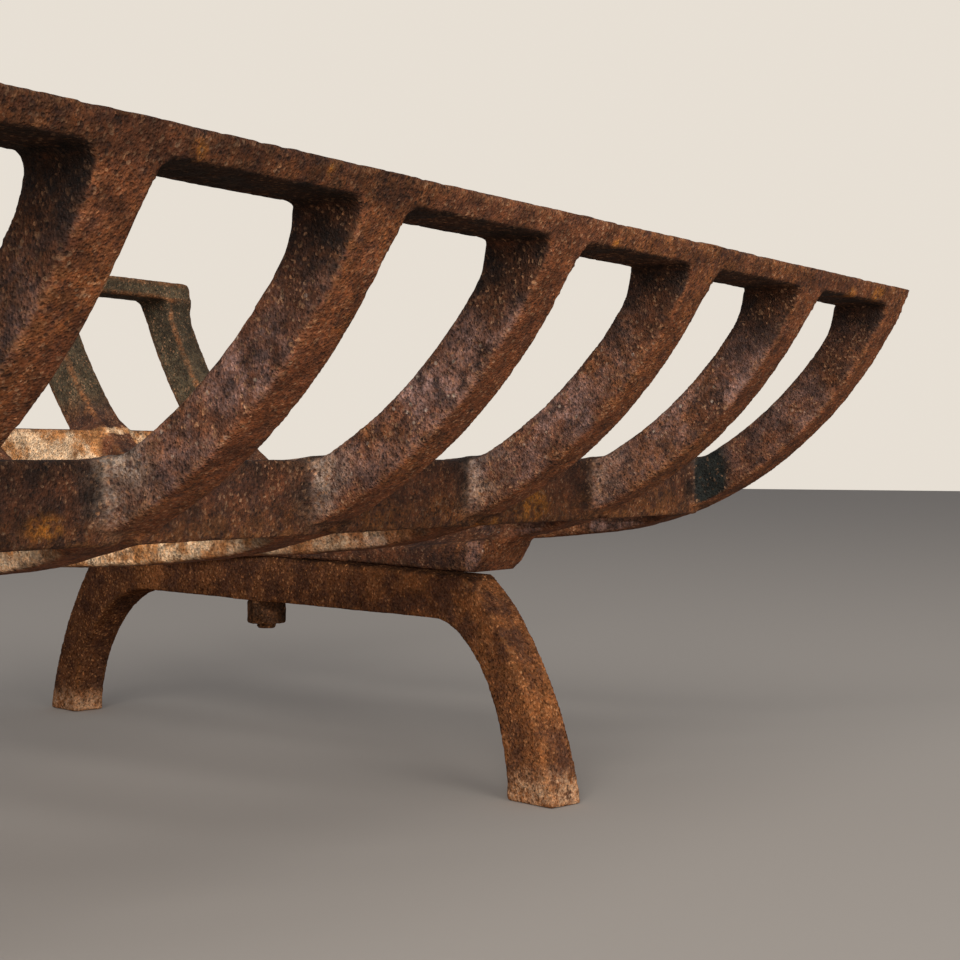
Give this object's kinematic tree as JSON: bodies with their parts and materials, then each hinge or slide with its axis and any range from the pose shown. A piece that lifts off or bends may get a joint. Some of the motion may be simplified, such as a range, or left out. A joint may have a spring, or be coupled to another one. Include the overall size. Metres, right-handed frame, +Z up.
{
  "type": "log grate",
  "caption": "Cast-iron log grate: a shallow open basket of swept ribs between a low front rail and a higher back rail, on two arched leg castings.",
  "frame": {"origin": "on the floor, in the middle of the grate's length and of its depth from the front rail to the legs' back feet", "axes": "+X along the rails, towards the end with the askew leg; +Y from the front rail to the back rail; +Z up"},
  "size_m": [0.622, 0.398, 0.201],
  "materials": {
    "basket_iron": "rusted, pitted, dark umber brown with purple-grey patches",
    "leg_iron": "rusted, pitted, orange brown",
    "fastening_iron": "rusted, dark brown"
  },
  "bodies": {
    "basket": {"front_rail": "basket_iron", "back_rail": "basket_iron", "rib_1": "basket_iron", "rib_2": "basket_iron", "rib_3": "basket_iron", "rib_4": "basket_iron", "rib_5": "basket_iron", "rib_6": "basket_iron", "rib_7": "basket_iron", "rib_8": "basket_iron", "rib_9": "basket_iron", "front_base_bar_1": "basket_iron", "front_base_bar_2": "basket_iron", "front_base_bar_3": "basket_iron", "front_base_bar_4": "basket_iron", "front_base_bar_5": "basket_iron", "front_base_bar_6": "basket_iron", "front_base_bar_7": "basket_iron", "front_base_bar_8": "basket_iron", "back_base_bar_1": "basket_iron", "back_base_bar_2": "basket_iron", "back_base_bar_3": "basket_iron", "back_base_bar_4": "basket_iron", "back_base_bar_5": "basket_iron", "back_base_bar_6": "basket_iron", "back_base_bar_7": "basket_iron", "back_base_bar_8": "basket_iron", "leg_pad_left": "basket_iron", "leg_pad_right": "basket_iron", "bolt_left": "fastening_iron", "bolt_right": "fastening_iron", "nut_left": "fastening_iron", "nut_right": "fastening_iron"},
    "leg_left_casting": {"leg_left": "leg_iron"},
    "leg_right_casting": {"leg_right": "leg_iron"}
  },
  "joints": [
    {"name": "leg_left_swing", "type": "hinge", "parent": "basket", "child": "leg_left_casting", "pos_m": [-0.228, 0.0405, 0.068], "axis": [0, 0, 1], "range_deg": [-90, 90]},
    {"name": "leg_right_swing", "type": "hinge", "parent": "basket", "child": "leg_right_casting", "pos_m": [0.228, 0.0405, 0.068], "axis": [0, 0, 1], "range_deg": [-78, 102]}
  ]
}
